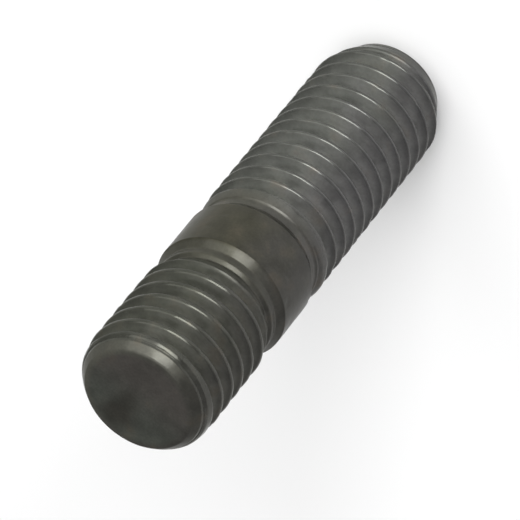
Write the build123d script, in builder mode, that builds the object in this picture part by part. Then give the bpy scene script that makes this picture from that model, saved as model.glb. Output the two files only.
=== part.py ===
from build123d import *
import os

# Double ended stud: one steel bar with a long thread for the nut, a short thread for the
# tapped hole, and a plain shank between them. It stands on its nut end. Z = 0 is the face
# of that end, and Z runs along the axis to the face of the metal end. Sizes are in mm.

# Major diameter of both threads, M10 x 1.5, which the threaded lengths are turned to
thread_diameter = 10.0

# The bar was drawn down to this before the threads were rolled, and shows it in both necks
neck_diameter = 9.1
neck_fillet = 0.6

# Nut end, from its face up to the shank
nut_face_diameter = 7.8
nut_point_length = 2.4
nut_thread_length = 20.35
nut_runout_length = 1.05
nut_neck_length = 0.5
nut_shoulder_length = 0.7

# Plain shank
shank_diameter = 10.0
shank_length = 4.15

# Metal end, from the shank up to its face
metal_shoulder_length = 0.65
metal_neck_length = 0.75
metal_runout_length = 0.7
metal_thread_length = 10.15
metal_point_length = 2.65
metal_lip_diameter = 8.8
metal_lip_height = 0.25
metal_face_diameter = 8.0

thread_radius = thread_diameter / 2
neck_radius = neck_diameter / 2
shank_radius = shank_diameter / 2

# Heights along the axis, each from the one below it
nut_neck_base = nut_thread_length + nut_runout_length
nut_neck_top = nut_neck_base + nut_neck_length
shank_base = nut_neck_top + nut_shoulder_length
shank_top = shank_base + shank_length
metal_neck_base = shank_top + metal_shoulder_length
metal_neck_top = metal_neck_base + metal_neck_length
metal_thread_base = metal_neck_top + metal_runout_length
metal_face = metal_thread_base + metal_thread_length
metal_point_base = metal_face - metal_point_length
metal_lip_base = metal_face - metal_lip_height

with BuildPart() as stud:
    # Half section, from the nut end's face up one side to the metal end's face
    with BuildSketch(Plane.XZ) as half_section:
        with BuildLine():
            Polyline(
                (0, 0),
                (nut_face_diameter / 2, 0),
                (thread_radius, nut_point_length),
                (thread_radius, nut_thread_length),
                (neck_radius, nut_neck_base),
                (neck_radius, nut_neck_top),
                (shank_radius, shank_base),
                (shank_radius, shank_top),
                (neck_radius, metal_neck_base),
                (neck_radius, metal_neck_top),
                (thread_radius, metal_thread_base),
                (thread_radius, metal_point_base),
                (metal_lip_diameter / 2, metal_lip_base),
                (metal_face_diameter / 2, metal_face),
                (0, metal_face),
                close=True,
            )
        make_face()

        # Both necks blend into the slopes beside them
        neck_corners = half_section.vertices().filter_by_position(Axis.X, neck_radius, neck_radius)
        fillet(neck_corners, radius=neck_fillet)
    revolve(axis=Axis.Z)

stud.part.label = "stud"
os.makedirs("parts", exist_ok=True)
export_step(stud.part, "parts/stud.step")
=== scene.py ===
import math
import bmesh
import bpy
import numpy as np
from mathutils import Matrix, Vector, noise


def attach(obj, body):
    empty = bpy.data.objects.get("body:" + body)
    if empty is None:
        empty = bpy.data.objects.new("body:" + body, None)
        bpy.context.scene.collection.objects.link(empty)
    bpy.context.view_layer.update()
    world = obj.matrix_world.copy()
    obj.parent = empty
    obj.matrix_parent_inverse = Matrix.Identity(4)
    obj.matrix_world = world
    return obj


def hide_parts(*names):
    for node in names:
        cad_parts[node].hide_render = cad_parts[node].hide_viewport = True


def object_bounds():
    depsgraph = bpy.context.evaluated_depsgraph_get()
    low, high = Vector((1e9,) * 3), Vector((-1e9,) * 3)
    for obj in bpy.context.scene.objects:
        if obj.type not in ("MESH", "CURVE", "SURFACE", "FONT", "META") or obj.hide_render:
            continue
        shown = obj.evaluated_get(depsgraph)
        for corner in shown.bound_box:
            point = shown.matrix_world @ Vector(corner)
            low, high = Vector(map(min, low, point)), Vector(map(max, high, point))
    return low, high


# A double ended stud, stood on its nut end. All sizes below are in millimetres, in the part's
# frame: Z = 0 is the nut end's face and Z runs up the axis. Meshes are written in metres.

MM = 0.001

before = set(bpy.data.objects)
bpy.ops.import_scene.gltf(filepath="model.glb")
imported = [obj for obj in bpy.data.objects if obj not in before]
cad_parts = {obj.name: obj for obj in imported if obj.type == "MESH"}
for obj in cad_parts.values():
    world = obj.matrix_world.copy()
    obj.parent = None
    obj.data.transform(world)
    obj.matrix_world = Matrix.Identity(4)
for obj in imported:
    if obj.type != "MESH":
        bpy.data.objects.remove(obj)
cad_box = [list(corner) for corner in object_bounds()]

# The solid's sizes, from the frame: the radius of its threads and shank, and its height
CREST_RADIUS = round(cad_box[1][0] / MM, 2)
HEIGHT = round(cad_box[1][2] / MM, 2)

# Both threads have one pitch. The metal end's has fuller crests and shallower grooves
PITCH = 1.5
NUT_ROOT_RADIUS = 4.08
NUT_CREST_HALF_WIDTH = 0.12
NUT_CREST_ROUNDING = 0.2
METAL_ROOT_RADIUS = 4.18
METAL_CREST_HALF_WIDTH = 0.19
METAL_CREST_ROUNDING = 0.32
ROOT_ROUNDING = 0.14
FLANK_SLOPE = math.tan(math.radians(30))

# Outline of the turned blank: radius and height of each corner, from the nut end up
NUT_POINT = [(3.9, 0.0), (CREST_RADIUS, 2.4)]
NUT_NECK = [(CREST_RADIUS, 20.35), (4.68, 21.16), (4.56, 21.31), (4.55, 21.9), (CREST_RADIUS, 22.6)]
METAL_NECK = [(CREST_RADIUS, 26.75), (4.55, 27.4), (4.6, 27.98), (4.36, 28.3), (CREST_RADIUS, 29.5)]
METAL_POINT = [(CREST_RADIUS, 36.9), (4.8, 38.1)]
COLLAR = [(4.6, 38.24), (4.54, 38.42), (4.08, 38.98), (3.6, HEIGHT)]

# How much each of those corners is rounded, but for the first and the last, in the same order
BLANK_ROUNDINGS = (
    [0.5]
    + [0.3, 0.12, 0.3, 0.6, 0.12]
    + [0.12, 0.3, 0.25, 0.12, 0.5]
    + [0.8, 0.45]
    + [0.08, 0.2, 0.3]
)

# Height of a crest over +X, and the stretch over which each root climbs out into its neck
NUT_CREST_HEIGHT = -0.085
METAL_CREST_HEIGHT = 27.815
RUNOUT_RISE = 0.6
NUT_RUNOUT = (20.15, 20.95)
METAL_RUNOUT = (28.95, 28.3)

# Below the collar at the metal end's tip, the last groove climbs out of the steel and ends
TIP_THREAD_END = 38.14
TIP_RUNOUT = 0.35
TIP_RISE = 0.7

# Each thread's surface is a wound strip between these heights, and beyond them it is level rings
NUT_STRIP = (0.25, 21.0)
METAL_STRIP = (28.34, TIP_THREAD_END)

# The nut end's edge, in radius and height, and the rings of its flat face
NUT_EDGE_START = 0.12
NUT_EDGE = [(3.93, 0.035), (3.89, 0.01), (3.8, 0.0)]
NUT_FACE_RADII = [3.0, 2.0, 1.0, 0.4]

# The metal end's face, which is dished a little below its rim
FACE_RIM = 3.55
FACE_RING = 0.2
FACE_DROP = 0.02
FACE_DISH = 0.07

# Unevenness of that face: its broad and its fine noise, and how it fades out towards the rim
FACE_UNEVENNESS = 0.035
FACE_FADE = 0.6
FACE_LUMP_SCALE = 0.55
FACE_LUMP_SEED = Vector((3.1, 0.4, 0))
FACE_PIT_SCALE = 1.7

# Waviness of the sides: its broad and its fine noise
WAVINESS = 0.012
WAVE_SCALE = 0.8
RIPPLE_SCALE = 2.3
FINE_SHARE = 0.4

# Nicks, where noise is above a level, from a radius near the crests outwards
NICK_DEPTH = 0.09
NICK_LEVEL = 0.45
NICK_RADIUS = 4.75
NICK_EDGE = 0.2
NICK_SCALE = 1.35
NICK_SEED = Vector((7.7, 2.9, 5.3))

# The nut end's flat face, which stays unworn
FOOT_HEIGHT = 0.05
UNWORN_RADIUS = 3.0

# Fineness of the mesh. A stretch of a thread's section that is longer than this is cut in steps
COLUMNS = 144
ARC_STEPS = 4
FLANK_STEPS = 3
LONGEST_STRETCH = 0.25
RINGS_PER_MM = 7

# How close two points are that count as one, and how far a ring stays above a strip's edge
SAME_PLACE = 1e-5
RING_GAP = 0.01


def rounded_corners(points, radii):
    """The points of a bent line, with each inner corner replaced by an arc of its radius."""
    line = [points[0]]
    for before, corner, after, radius in zip(points, points[1:], points[2:], radii):
        corner_at = Vector(corner)
        back = (Vector(before) - corner_at).normalized()
        ahead = (Vector(after) - corner_at).normalized()
        half_angle = back.angle(ahead) / 2
        reach = radius / math.tan(half_angle)
        centre = corner_at + (back + ahead).normalized() * radius / math.sin(half_angle)
        start = corner_at + back * reach - centre
        end = corner_at + ahead * reach - centre
        for step in range(ARC_STEPS + 1):
            spoke = start.lerp(end, step / ARC_STEPS).normalized() * radius
            line.append(tuple(centre + spoke))
    line.append(points[-1])
    return line


BLANK = rounded_corners(NUT_POINT + NUT_NECK + METAL_NECK + METAL_POINT + COLLAR, BLANK_ROUNDINGS)
BLANK_RADII = np.array([point[0] for point in BLANK])
BLANK_HEIGHTS = np.array([point[1] for point in BLANK])


def blank_radius(height):
    """Radius of the blank, before its threads, at a height."""
    return np.interp(height, BLANK_HEIGHTS, BLANK_RADII)


def thread_section(root_radius, crest_half_width, crest_rounding):
    """Offsets from a crest's centre and radii, over one pitch from root to root."""
    depth = CREST_RADIUS - root_radius
    root_start = crest_half_width + depth * FLANK_SLOPE
    corners = [
        (-PITCH / 2, root_radius),
        (-root_start, root_radius),
        (-crest_half_width, CREST_RADIUS),
        (crest_half_width, CREST_RADIUS),
        (root_start, root_radius),
        (PITCH / 2, root_radius),
    ]
    rounding = [ROOT_ROUNDING, crest_rounding, crest_rounding, ROOT_ROUNDING]
    section = []
    line = rounded_corners(corners, rounding)
    for start, end in zip(line, line[1:]):
        steps = FLANK_STEPS if math.dist(start, end) > LONGEST_STRETCH else 1
        section.extend(Vector(start).lerp(Vector(end), step / steps) for step in range(steps))
    return np.array(section)


def thread_strip(section, crest_height, first_height, last_height, runout):
    """Points of a thread's surface: a strip wound from below the first height to above the last."""
    first_column = math.floor((first_height - crest_height - PITCH) / PITCH * COLUMNS)
    last_column = math.ceil((last_height - crest_height + 2.5 * PITCH) / PITCH * COLUMNS)
    columns = np.arange(first_column, last_column + 1)
    angles = 2 * math.pi * columns / COLUMNS
    heights = crest_height + PITCH * columns[:, None] / COLUMNS + section[None, :, 0]
    runout_start, runout_end = runout
    rise = RUNOUT_RISE * np.clip((heights - runout_start) / (runout_end - runout_start), 0, 1)
    rise += TIP_RISE * np.clip((heights - TIP_THREAD_END) / TIP_RUNOUT + 1, 0, 1)
    radii = np.minimum(section[None, :, 1] + rise, blank_radius(heights))
    return angles, heights, radii


def strip_mesh(angles, heights, radii):
    """Vertices and faces of a wound strip whose turns share their edges."""
    count, rows = heights.shape
    turn_angles = np.broadcast_to(angles[:, None], heights.shape)
    vertices = np.stack(
        [radii * np.cos(turn_angles), radii * np.sin(turn_angles), heights], axis=-1
    ).reshape(-1, 3)
    faces = []
    for column in range(count - COLUMNS - 1):
        start = column * rows
        for row in range(rows - 1):
            here = start + row
            faces.append((here, here + rows, here + rows + 1, here + 1))
        above = start + COLUMNS * rows
        here = start + rows - 1
        faces.append((here, here + rows, above + rows, above))
    return vertices, faces


def cut_between(vertices, faces, low, high):
    """The strip as a bmesh, cut off square at two heights."""
    mesh = bpy.data.meshes.new("strip")
    mesh.from_pydata(vertices.tolist(), [], faces)
    strip = bmesh.new()
    strip.from_mesh(mesh)
    bpy.data.meshes.remove(mesh)
    for height, side in ((low, -1), (high, 1)):
        bmesh.ops.bisect_plane(
            strip,
            geom=strip.verts[:] + strip.edges[:] + strip.faces[:],
            plane_co=(0, 0, height),
            plane_no=(0, 0, side),
            clear_outer=True,
        )
    return strip


def ring_at(shape, height):
    """A bmesh's vertices at a height, in order round the axis."""
    found = [v for v in shape.verts if abs(v.co.z - height) < SAME_PLACE and v.is_boundary]
    return sorted(found, key=lambda v: math.atan2(v.co.y, v.co.x))


def add_ring(shape, radius, height):
    """A level ring of new vertices round the axis, in order from just above -180 degrees."""
    ring = []
    for step in range(COLUMNS):
        angle = -math.pi + 2 * math.pi * (step + 0.5) / COLUMNS
        ring.append(shape.verts.new((radius * math.cos(angle), radius * math.sin(angle), height)))
    return ring


def zip_rings(shape, lower, upper):
    """Join two rings that may have different counts, lower to upper, facing outwards."""
    def turn(vertex):
        return math.atan2(vertex.co.y, vertex.co.x)

    low_turns = [turn(v) for v in lower] + [turn(lower[0]) + 2 * math.pi]
    high_turns = [turn(v) for v in upper] + [turn(upper[0]) + 2 * math.pi]
    low = high = 0
    while low < len(lower) or high < len(upper):
        low_vertex = lower[low % len(lower)]
        high_vertex = upper[high % len(upper)]
        next_low = low_turns[low + 1] if low < len(lower) else math.inf
        next_high = high_turns[high + 1] if high < len(upper) else math.inf
        if next_low <= next_high:
            low += 1
            shape.faces.new((low_vertex, lower[low % len(lower)], high_vertex))
        else:
            high += 1
            shape.faces.new((low_vertex, upper[high % len(upper)], high_vertex))


def join_rings(shape, lower, upper):
    """Join two rings of the same count with quads that face outwards."""
    for step, vertex in enumerate(lower):
        following = (step + 1) % len(lower)
        shape.faces.new((vertex, lower[following], upper[following], upper[step]))


def merge_into(shape, other):
    """Copy one bmesh's vertices and faces into another."""
    copies = {v: shape.verts.new(v.co) for v in other.verts}
    for face in other.faces:
        shape.faces.new([copies[v] for v in face.verts])
    other.free()


def end_cap(shape, edge, rings, upwards):
    """Close an end from its open edge: rings of given radius and height, and a point at the axis."""
    previous = edge
    for radius, height in rings:
        following = add_ring(shape, radius, height)
        if upwards:
            zip_rings(shape, previous, following)
        else:
            zip_rings(shape, following, previous)
        previous = following
    centre = shape.verts.new((0, 0, rings[-1][1]))
    for step, vertex in enumerate(previous):
        following = previous[(step + 1) % len(previous)]
        corners = (vertex, following, centre) if upwards else (following, vertex, centre)
        shape.faces.new(corners)


def face_height(radius):
    """Height of the metal end's face, which is slightly dished inside its rim."""
    return HEIGHT - FACE_DROP - FACE_DISH * (1 - (radius / FACE_RIM) ** 2)


def wear(point):
    """How far a point of the steel is off its true shape: waviness, nicks and an uneven face."""
    radius = math.hypot(point.x, point.y)
    if point.z > HEIGHT - 0.1 and radius < FACE_RIM:
        lump = noise.noise(point * FACE_LUMP_SCALE + FACE_LUMP_SEED)
        lump += FINE_SHARE * noise.noise(point * FACE_PIT_SCALE)
        fade = min(1.0, (FACE_RIM - radius) / FACE_FADE)
        return Vector((0, 0, -FACE_UNEVENNESS * fade * (0.6 + lump)))
    if radius < UNWORN_RADIUS or point.z < FOOT_HEIGHT:
        return Vector((0, 0, 0))
    outwards = Vector((point.x, point.y, 0)) / radius
    waviness = WAVINESS * noise.noise(point * WAVE_SCALE)
    waviness += FINE_SHARE * WAVINESS * noise.noise(point * RIPPLE_SCALE)
    edge = min(1.0, max(0.0, (radius - NICK_RADIUS) / NICK_EDGE))
    strike = noise.noise(point * NICK_SCALE + NICK_SEED)
    nick = NICK_DEPTH * edge * max(0.0, strike - NICK_LEVEL) / (1 - NICK_LEVEL)
    return outwards * (waviness - WAVINESS - nick)


def build_stud():
    """The whole stud as one closed mesh."""
    stud = bmesh.new()
    nut_low, nut_high = NUT_STRIP
    metal_low, metal_high = METAL_STRIP
    nut_section = thread_section(NUT_ROOT_RADIUS, NUT_CREST_HALF_WIDTH, NUT_CREST_ROUNDING)
    nut_strip = thread_strip(nut_section, NUT_CREST_HEIGHT, nut_low, nut_high, NUT_RUNOUT)
    merge_into(stud, cut_between(*strip_mesh(*nut_strip), nut_low, nut_high))
    metal_section = thread_section(METAL_ROOT_RADIUS, METAL_CREST_HALF_WIDTH, METAL_CREST_ROUNDING)
    metal_strip = thread_strip(metal_section, METAL_CREST_HEIGHT, metal_low, metal_high, METAL_RUNOUT)
    merge_into(stud, cut_between(*strip_mesh(*metal_strip), metal_low, metal_high))
    bmesh.ops.remove_doubles(stud, verts=stud.verts[:], dist=SAME_PLACE)

    # Shank and both shoulders, between the two threads
    count = int((metal_low - nut_high) * RINGS_PER_MM)
    heights = np.linspace(nut_high, metal_low, count + 2)[1:-1]
    corner_heights = BLANK_HEIGHTS[(BLANK_HEIGHTS > nut_high) & (BLANK_HEIGHTS < metal_low)]
    heights = np.unique(np.round(np.concatenate([heights, corner_heights]), 4))
    previous = ring_at(stud, nut_high)
    rings = [add_ring(stud, blank_radius(height), height) for height in heights]
    zip_rings(stud, previous, rings[0])
    for lower, upper in zip(rings, rings[1:]):
        join_rings(stud, lower, upper)
    zip_rings(stud, rings[-1], ring_at(stud, metal_low))

    # Nut end's face
    nut_rings = [(blank_radius(NUT_EDGE_START), NUT_EDGE_START)] + NUT_EDGE
    nut_rings += [(radius, 0.0) for radius in NUT_FACE_RADII]
    end_cap(stud, ring_at(stud, nut_low), nut_rings, upwards=False)

    # Metal end's collar and face
    metal_rings = [point for point in BLANK if point[1] > metal_high + RING_GAP]
    for step in range(int(FACE_RIM / FACE_RING), 0, -1):
        radius = FACE_RING * step
        metal_rings.append((radius, face_height(radius)))
    end_cap(stud, ring_at(stud, metal_high), metal_rings, upwards=True)
    bmesh.ops.recalc_face_normals(stud, faces=stud.faces[:])
    for vertex in stud.verts:
        vertex.co += wear(vertex.co)
        vertex.co *= MM
    mesh = bpy.data.meshes.new("threaded_stud")
    stud.to_mesh(mesh)
    stud.free()
    mesh.polygons.foreach_set("use_smooth", [True] * len(mesh.polygons))
    piece = bpy.data.objects.new("threaded_stud", mesh)
    bpy.context.scene.collection.objects.link(piece)
    return piece


def add_node(tree, kind, inputs, **settings):
    """A new shader node with its settings and inputs, where an input is a value or an output."""
    made = tree.nodes.new(kind)
    for name, value in settings.items():
        setattr(made, name, value)
    for name, value in inputs.items():
        if isinstance(value, bpy.types.NodeSocket):
            tree.links.new(value, made.inputs[name])
        else:
            made.inputs[name].default_value = value
    return made


def vector_math(tree, operation, first, second):
    """A vector made from two others."""
    return add_node(tree, "ShaderNodeVectorMath", {0: first, 1: second}, operation=operation).outputs[0]


def vector_length(tree, vector):
    """A vector's length."""
    return add_node(tree, "ShaderNodeVectorMath", {0: vector}, operation="LENGTH").outputs["Value"]


def scalar_math(tree, operation, first, second):
    """A number made from two others."""
    return add_node(tree, "ShaderNodeMath", {0: first, 1: second}, operation=operation).outputs[0]


def ramp(tree, value, start, end, low=0.0, high=1.0):
    """Smoothly from low to high while a value goes from start to end."""
    inputs = {"Value": value, "From Min": start, "From Max": end, "To Min": low, "To Max": high}
    made = add_node(tree, "ShaderNodeMapRange", inputs, interpolation_type="SMOOTHSTEP")
    return made.outputs["Result"]


def add_line(tree, height, start, end):
    """The radius, at a height, on the straight line through two points of the outline."""
    slope = (end[0] - start[0]) / (end[1] - start[1])
    climb = scalar_math(tree, "MULTIPLY", scalar_math(tree, "SUBTRACT", height, start[1]), slope)
    return scalar_math(tree, "ADD", climb, start[0])


def blend(tree, share, first, second, kind="MIX"):
    """A colour between two others."""
    inputs = {0: share, 6: first, 7: second}
    made = add_node(tree, "ShaderNodeMix", inputs, data_type="RGBA", blend_type=kind)
    return made.outputs[2]


def cloud(tree, place, scale, detail=3.0, distortion=0.0):
    """Noise from 0 to 1 with features of about 1 / scale."""
    inputs = {"Vector": place, "Scale": scale, "Detail": detail, "Distortion": distortion}
    return add_node(tree, "ShaderNodeTexNoise", inputs).outputs["Fac"]


# Colours of the steel, each on its cold grey side and on its yellower side, towards +X and in broad
# patches; the two sides also differ in lightness as painted light and shade
# Grooves are painted lighter and crests darker: painted light and painted shade that even out the shade
# inside the grooves
GROOVE_STEEL_PAINTED_LIGHT = ((0.194, 0.192, 0.184, 1), (0.125, 0.130, 0.113, 1))
CREST_STEEL_PAINTED_SHADE = ((0.082, 0.081, 0.078, 1), (0.072, 0.074, 0.064, 1))
# The shank's colour is dark partly as painted shade, standing in for darker surroundings mirrored in it
DRAWN_STEEL = ((0.054, 0.052, 0.049, 1), (0.049, 0.047, 0.034, 1))
NECK_STEEL = ((0.070, 0.068, 0.064, 1), (0.070, 0.069, 0.056, 1))
COLLAR_STEEL = ((0.068, 0.066, 0.062, 1), (0.104, 0.104, 0.092, 1))

# The metal end's face, from its red side over -Y to its green side over +Y, and its stain
FACE_STEEL = ((0.085, 0.078, 0.075, 1), (0.079, 0.084, 0.077, 1))
STAIN_COLOUR = (0.047, 0.045, 0.040, 1)
STAIN_CENTRE = (0.45, 1.75, HEIGHT)
STAIN_EDGE = (0.5, 2.6)

# A trace of rust, the depths in a groove over which its painted light grows from none to full, and
# the heights between which the steel darkens towards the metal end
RUST_COLOUR = (0.110, 0.088, 0.066, 1)
GROOVE_LIGHT_DEPTHS = (0.12, 0.68)
DARKENING = (15.0, 31.0)


def groove_depth(tree, height, radius):
    """How deep a point lies below the crests and the turned points of both ends."""
    outline = CREST_RADIUS
    for start, end in (NUT_POINT, METAL_POINT, COLLAR[1:3]):
        outline = scalar_math(tree, "MINIMUM", outline, add_line(tree, height, start, end))
    return scalar_math(tree, "SUBTRACT", outline, radius)


def face_colour(tree, place, y, broad):
    """Colour of the metal end's cut face, which is dark where it is stained."""
    reach = vector_length(tree, vector_math(tree, "SUBTRACT", place, STAIN_CENTRE))
    reach = scalar_math(tree, "ADD", reach, ramp(tree, broad, 0.3, 0.7, -0.8, 0.8))
    bare = blend(tree, ramp(tree, y, -2.0, 2.0), *FACE_STEEL)
    return blend(tree, ramp(tree, reach, *STAIN_EDGE), STAIN_COLOUR, bare)


def steel_material():
    """Dark steel with a film of oil: rolled threads, a drawn shank and a stained face."""
    material = bpy.data.materials.new("oiled_steel")
    material.use_nodes = True
    tree = material.node_tree
    shader = tree.nodes["Principled BSDF"]

    # Where a point is, in mm, and how far from the axis
    object_place = tree.nodes.new("ShaderNodeTexCoord").outputs["Object"]
    place = vector_math(tree, "MULTIPLY", object_place, (1 / MM, 1 / MM, 1 / MM))
    split = add_node(tree, "ShaderNodeSeparateXYZ", {0: place})
    x, y, height = split.outputs["X"], split.outputs["Y"], split.outputs["Z"]
    radius = vector_length(tree, vector_math(tree, "MULTIPLY", place, (1, 1, 0)))

    broad = cloud(tree, place, 0.28, 2.0)
    patches = cloud(tree, place, 0.6, 3.0, 0.2)
    speck = cloud(tree, place, 5.5, 3.0)

    # The metal end from its collar up, and the face alone
    end = ramp(tree, height, COLLAR[1][1] - 0.06, COLLAR[1][1] + 0.04)
    face = scalar_math(tree, "MULTIPLY", end, ramp(tree, radius, COLLAR[2][0] - 0.1, COLLAR[3][0] - 0.1))

    # The threads, and the deep part of their grooves, whose colour is painted lighter as painted light
    depth = groove_depth(tree, height, radius)
    nut_rolled = ramp(tree, height, NUT_NECK[1][1], NUT_NECK[0][1])
    metal_rolled = ramp(tree, height, METAL_NECK[2][1], METAL_RUNOUT[0])
    threaded = scalar_math(tree, "ADD", nut_rolled, metal_rolled)
    painted_groove_light = scalar_math(tree, "MULTIPLY", ramp(tree, depth, *GROOVE_LIGHT_DEPTHS), threaded)

    # Oil yellows the steel on one side, and the other keeps a cold grey; the two sides' lightness also
    # differs as painted light and shade. The bar's own skin is dark, on the shank partly as painted
    # shade, and the crests are painted darker and the flanks and roots lighter, painted shade and light
    # that even out the shade inside the grooves
    oil_and_shade_side = scalar_math(tree, "ADD", x, scalar_math(tree, "MULTIPLY", broad, 9.0))
    oil_tint_and_side_shade = ramp(tree, oil_and_shade_side, 1.0, 8.0)
    groove_painted_light = blend(tree, oil_tint_and_side_shade, *GROOVE_STEEL_PAINTED_LIGHT)
    crests = blend(tree, oil_tint_and_side_shade, *CREST_STEEL_PAINTED_SHADE)
    drawn = blend(tree, oil_tint_and_side_shade, *DRAWN_STEEL)
    necks = blend(tree, oil_tint_and_side_shade, *NECK_STEEL)
    collar = blend(tree, oil_tint_and_side_shade, *COLLAR_STEEL)
    plain = blend(tree, ramp(tree, depth, 0.0, 0.2), drawn, necks)
    # Painted light: the deeper in a groove, the lighter its colour, and the crests keep a darker colour
    colour = blend(tree, threaded, plain, blend(tree, painted_groove_light, crests, groove_painted_light))
    colour = blend(tree, end, colour, collar)
    colour = blend(tree, face, colour, face_colour(tree, place, y, broad))

    # A trace of rust, and uneven tones that darken and yellow towards the metal end
    colour = blend(tree, ramp(tree, patches, 0.54, 0.76, 0.0, 0.3), colour, RUST_COLOUR)
    mottle = ramp(tree, patches, 0.30, 0.62, 0.84, 1.10)
    mottle = scalar_math(tree, "MULTIPLY", mottle, ramp(tree, height, *DARKENING, 1.06, 0.70))
    mottle = scalar_math(tree, "MULTIPLY", mottle, ramp(tree, speck, 0.3, 0.7, 0.93, 1.07))
    blue = scalar_math(tree, "MULTIPLY", mottle, ramp(tree, height, *DARKENING, 1.03, 0.93))
    tone = add_node(tree, "ShaderNodeCombineColor", {0: mottle, 1: mottle, 2: blue}).outputs[0]
    colour = blend(tree, 1.0, colour, tone, "MULTIPLY")

    # Oil lies unevenly, the crests are rubbed smoother, and the cut face is duller
    crest = scalar_math(tree, "MULTIPLY", ramp(tree, depth, 0.18, 0.06), threaded)
    crest = scalar_math(tree, "MULTIPLY", crest, scalar_math(tree, "SUBTRACT", 1.0, end))
    roughness = ramp(tree, patches, 0.3, 0.7, 0.34, 0.48)
    roughness = scalar_math(tree, "SUBTRACT", roughness, scalar_math(tree, "MULTIPLY", crest, 0.20))
    roughness = scalar_math(tree, "SUBTRACT", roughness, scalar_math(tree, "MULTIPLY", end, 0.06))
    roughness = scalar_math(tree, "ADD", roughness, scalar_math(tree, "MULTIPLY", face, 0.12))

    # Drawing marks round the axis, and a grain all over
    marks = cloud(tree, vector_math(tree, "MULTIPLY", place, (0.4, 0.4, 9.0)), 1.0, 3.0)
    grain = cloud(tree, place, 2.6, 5.0)
    relief = scalar_math(tree, "ADD", scalar_math(tree, "MULTIPLY", marks, 0.35), grain)
    bump = add_node(tree, "ShaderNodeBump", {"Strength": 0.35, "Distance": 0.02 * MM, "Height": relief})

    tree.links.new(colour, shader.inputs["Base Color"])
    tree.links.new(roughness, shader.inputs["Roughness"])
    tree.links.new(bump.outputs[0], shader.inputs["Normal"])
    shader.inputs["Metallic"].default_value = 0.7
    shader.inputs["Specular IOR Level"].default_value = 0.1
    shader.inputs["Specular Tint"].default_value = (0.55, 0.55, 0.53, 1)
    shader.inputs["Coat Weight"].default_value = 0.2
    shader.inputs["Coat Roughness"].default_value = 0.13
    shader.inputs["Coat IOR"].default_value = 1.45
    return material


def build_floor():
    """A plain pale floor, 3 metres square, that keeps the stud's shadow."""
    half = 1.5
    mesh = bpy.data.meshes.new("floor")
    corners = [(-half, -half, 0), (half, -half, 0), (half, half, 0), (-half, half, 0)]
    mesh.from_pydata(corners, [], [(0, 1, 2, 3)])
    floor = bpy.data.objects.new("floor", mesh)
    bpy.context.scene.collection.objects.link(floor)
    material = bpy.data.materials.new("pale_floor")
    material.use_nodes = True
    tree = material.node_tree
    shader = tree.nodes["Principled BSDF"]
    shader.inputs["Base Color"].default_value = (0.9, 0.9, 0.9, 1)
    shader.inputs["Roughness"].default_value = 0.9
    shader.inputs["Specular IOR Level"].default_value = 0.1
    mesh.materials.append(material)


# The world's light from all round, the directions in which it is brighter or dimmer, and the
# cosine of the angle from such a direction at which that ends
WORLD_LIGHT = 0.62
WORLD_LOBES = [((0.45, -0.75, 0.4), 0.2), ((-0.65, -0.6, 0.35), -0.25)]
LOBE_EDGE = 0.2


def build_world():
    """Studio light from all round, brighter over +X in front of the stud and dimmer over -X."""
    world = bpy.data.worlds.new("studio")
    world.use_nodes = True
    tree = world.node_tree
    direction = tree.nodes.new("ShaderNodeTexCoord").outputs["Generated"]
    strength = WORLD_LIGHT
    for lobe_direction, gain in WORLD_LOBES:
        inputs = {0: direction, 1: tuple(Vector(lobe_direction).normalized())}
        made = add_node(tree, "ShaderNodeVectorMath", inputs, operation="DOT_PRODUCT")
        lobe = ramp(tree, made.outputs["Value"], LOBE_EDGE, 1.0, 0.0, gain)
        strength = scalar_math(tree, "ADD", strength, lobe)
    background = tree.nodes["Background"]
    background.inputs["Color"].default_value = (1, 1, 1, 1)
    tree.links.new(strength, background.inputs["Strength"])
    bpy.context.scene.world = world


def build_lamp(name, azimuth, elevation, distance, width, height, radiance):
    """A soft box, sized and placed in metres, that is aimed at the stud's middle.

    Its angles are in degrees. Azimuth 0 is over -Y and turns towards +X.
    """
    aim = Vector((0, 0, HEIGHT / 2)) * MM
    across, up = math.radians(azimuth), math.radians(elevation)
    direction = Vector(
        (math.cos(up) * math.sin(across), -math.cos(up) * math.cos(across), math.sin(up))
    )
    data = bpy.data.lights.new(name, "AREA")
    data.shape = "RECTANGLE"
    data.size = width
    data.size_y = height
    data.energy = radiance * math.pi * width * height
    lamp = bpy.data.objects.new(name, data)
    lamp.location = aim + direction * distance
    lamp.rotation_euler = direction.to_track_quat("Z", "Y").to_euler()
    bpy.context.scene.collection.objects.link(lamp)


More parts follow.
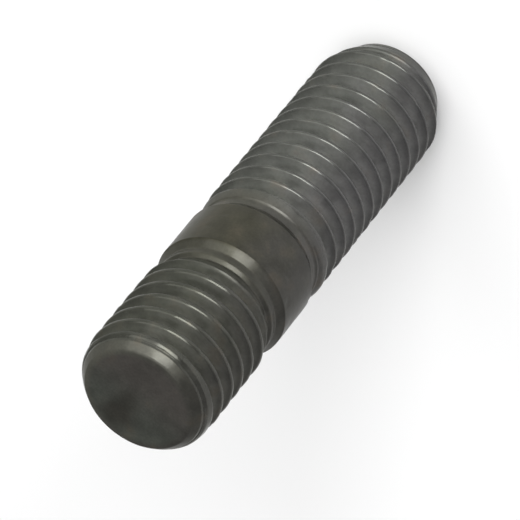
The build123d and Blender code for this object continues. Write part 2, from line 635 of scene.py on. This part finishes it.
# The photograph's camera: how far it leans from the stud's axis, its focal length in pixels of
# the 520 pixel frame, the stud's turn in the frame, and where its axis crosses the picture
IMAGE_SIDE = 520
LEAN = math.radians(45.67)
AXIS_ROLL = math.radians(0.14)
FOCAL_PIXELS = 5175
PIXELS_PER_MM = 14.344
AXIS_OFFSET_PIXELS = -1.96
AIM_HEIGHT = 20.55
AIM_PIXEL = (262.5, 248.5)
FRAME_ACROSS = (0.7771, 0.6293)
SENSOR_WIDTH = 36.0


def build_camera():
    """The camera at the photograph's viewing angle."""
    across_part = Vector((-1, 0, 0))
    along_part = Vector((0, -math.cos(LEAN), -math.sin(LEAN)))
    cos_roll, sin_roll = math.cos(AXIS_ROLL), math.sin(AXIS_ROLL)
    across = across_part * cos_roll - along_part * sin_roll
    along = across_part * sin_roll + along_part * cos_roll
    towards = Vector((0, -math.sin(LEAN), math.cos(LEAN)))
    right = across * FRAME_ACROSS[0] + along * FRAME_ACROSS[1]
    up = along * FRAME_ACROSS[0] - across * FRAME_ACROSS[1]
    aim = Vector((0, 0, AIM_HEIGHT))
    place = aim + (towards * FOCAL_PIXELS - across * AXIS_OFFSET_PIXELS) / PIXELS_PER_MM

    # Turned a little, so that the picture's middle lies on the camera's own axis
    sideways = AIM_PIXEL[0] - IMAGE_SIDE / 2
    upwards = IMAGE_SIDE / 2 - AIM_PIXEL[1]
    backwards = (towards * FOCAL_PIXELS + right * sideways + up * upwards).normalized()
    level = up.cross(backwards).normalized()
    upright = backwards.cross(level)
    turn = Matrix((level, upright, backwards)).transposed()

    data = bpy.data.cameras.new("photo_camera")
    data.sensor_width = SENSOR_WIDTH
    data.lens = SENSOR_WIDTH * FOCAL_PIXELS / IMAGE_SIDE
    data.clip_start = 0.01
    camera = bpy.data.objects.new("photo_camera", data)
    camera.matrix_world = Matrix.Translation(place * MM) @ turn.to_4x4()
    bpy.context.scene.collection.objects.link(camera)
    bpy.context.scene.camera = camera


stud = build_stud()
stud.data.materials.append(steel_material())
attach(stud, "root")
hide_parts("stud")

build_floor()
build_world()
build_lamp("key_lamp", 11, 28, distance=0.6, width=0.30, height=0.38, radiance=8.0)
build_lamp("glow_lamp", 42, 29, distance=0.65, width=0.70, height=0.44, radiance=1.6)
build_lamp("top_lamp", 34, 74, distance=0.7, width=0.50, height=0.50, radiance=1.2)
build_camera()

scene = bpy.context.scene
scene.view_settings.view_transform = "Standard"
